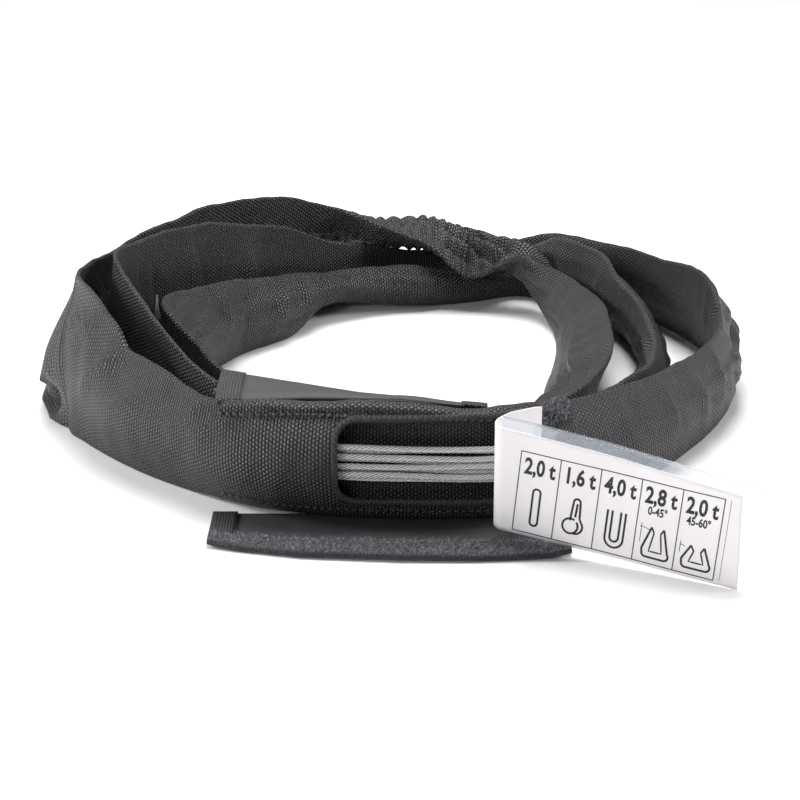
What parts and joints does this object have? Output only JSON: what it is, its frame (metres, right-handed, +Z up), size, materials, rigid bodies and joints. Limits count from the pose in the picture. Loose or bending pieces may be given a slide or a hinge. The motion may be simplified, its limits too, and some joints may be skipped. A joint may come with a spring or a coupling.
{
  "type": "round sling",
  "caption": "Endless round sling with a wire-rope core in a woven sleeve, coiled on edge, with an inspection window, hook-and-loop flap and load tag.",
  "frame": {"origin": "middle of the footprint of the coiled sling with its tag and flap, on the surface that it stands on", "axes": "+X to the right along the inspection window, +Y from the window to the back of the coil, +Z up"},
  "size_m": [0.3462, 0.4288, 0.08],
  "materials": {
    "sleeve_cloth": "coarse woven polyester, matt",
    "binding_cloth": "woven edge, matt",
    "thread": "polyester sewing thread",
    "wire_rope": "galvanised stranded wire",
    "tie_tape": "cloth-backed tape",
    "ferrule_metal": "pressed, satin",
    "flap_cloth": "fine smooth coated cloth",
    "strip_cloth": "coarse woven strip",
    "hook_pile": "hook tape",
    "loop_pile": "loop tape",
    "tag_white": "smooth coated strip",
    "tag_film": "clear flexible film"
  },
  "bodies": {
    "root": {"sleeve": "sleeve_cloth", "window_binding": "binding_cloth", "hem_thread": "thread", "flap_thread": "thread", "end_ferrule": "ferrule_metal", "flap_back_panel": "flap_cloth", "label_patch": "binding_cloth", "rope_turn_1": "wire_rope", "rope_turn_2": "wire_rope", "rope_turn_3": "wire_rope", "rope_turn_4": "wire_rope", "rope_turn_5": "wire_rope", "rope_turn_6": "wire_rope", "rope_turn_7": "wire_rope", "rope_turn_8": "wire_rope", "core_tie_1": "tie_tape", "core_tie_2": "tie_tape", "core_tie_3": "tie_tape"},
    "flap_lower": {"flap_lower_panel": "flap_cloth", "flap_lower_strip_left": "strip_cloth", "flap_lower_strip_right": "strip_cloth", "flap_lower_hem": "flap_cloth", "hook_tape": "hook_pile"},
    "flap_upper": {"flap_upper_panel": "flap_cloth", "flap_upper_strip_left": "strip_cloth", "flap_upper_strip_right": "strip_cloth", "loop_tape": "loop_pile"},
    "tag": {"label_strip": "tag_white", "label_film": "tag_film"}
  },
  "joints": [
    {"name": "flap_lower_fold", "type": "hinge", "parent": "root", "child": "flap_lower", "pos_m": [0.0029, -0.1406, 0.0004], "axis": [-1, 0, 0], "range_deg": [0, 58]},
    {"name": "flap_upper_fold", "type": "hinge", "parent": "root", "child": "flap_upper", "pos_m": [0.0029, -0.126, 0.0572], "axis": [1, 0, 0], "range_deg": [0, 160]},
    {"name": "tag_lift", "type": "hinge", "parent": "root", "child": "tag", "pos_m": [0.0729, -0.1326, 0.051], "axis": [-1, 0, 0], "range_deg": [0, 116]}
  ],
  "couplings": [
    {"joint": "tag_lift", "follows": "flap_lower_fold", "ratio": 2}
  ]
}
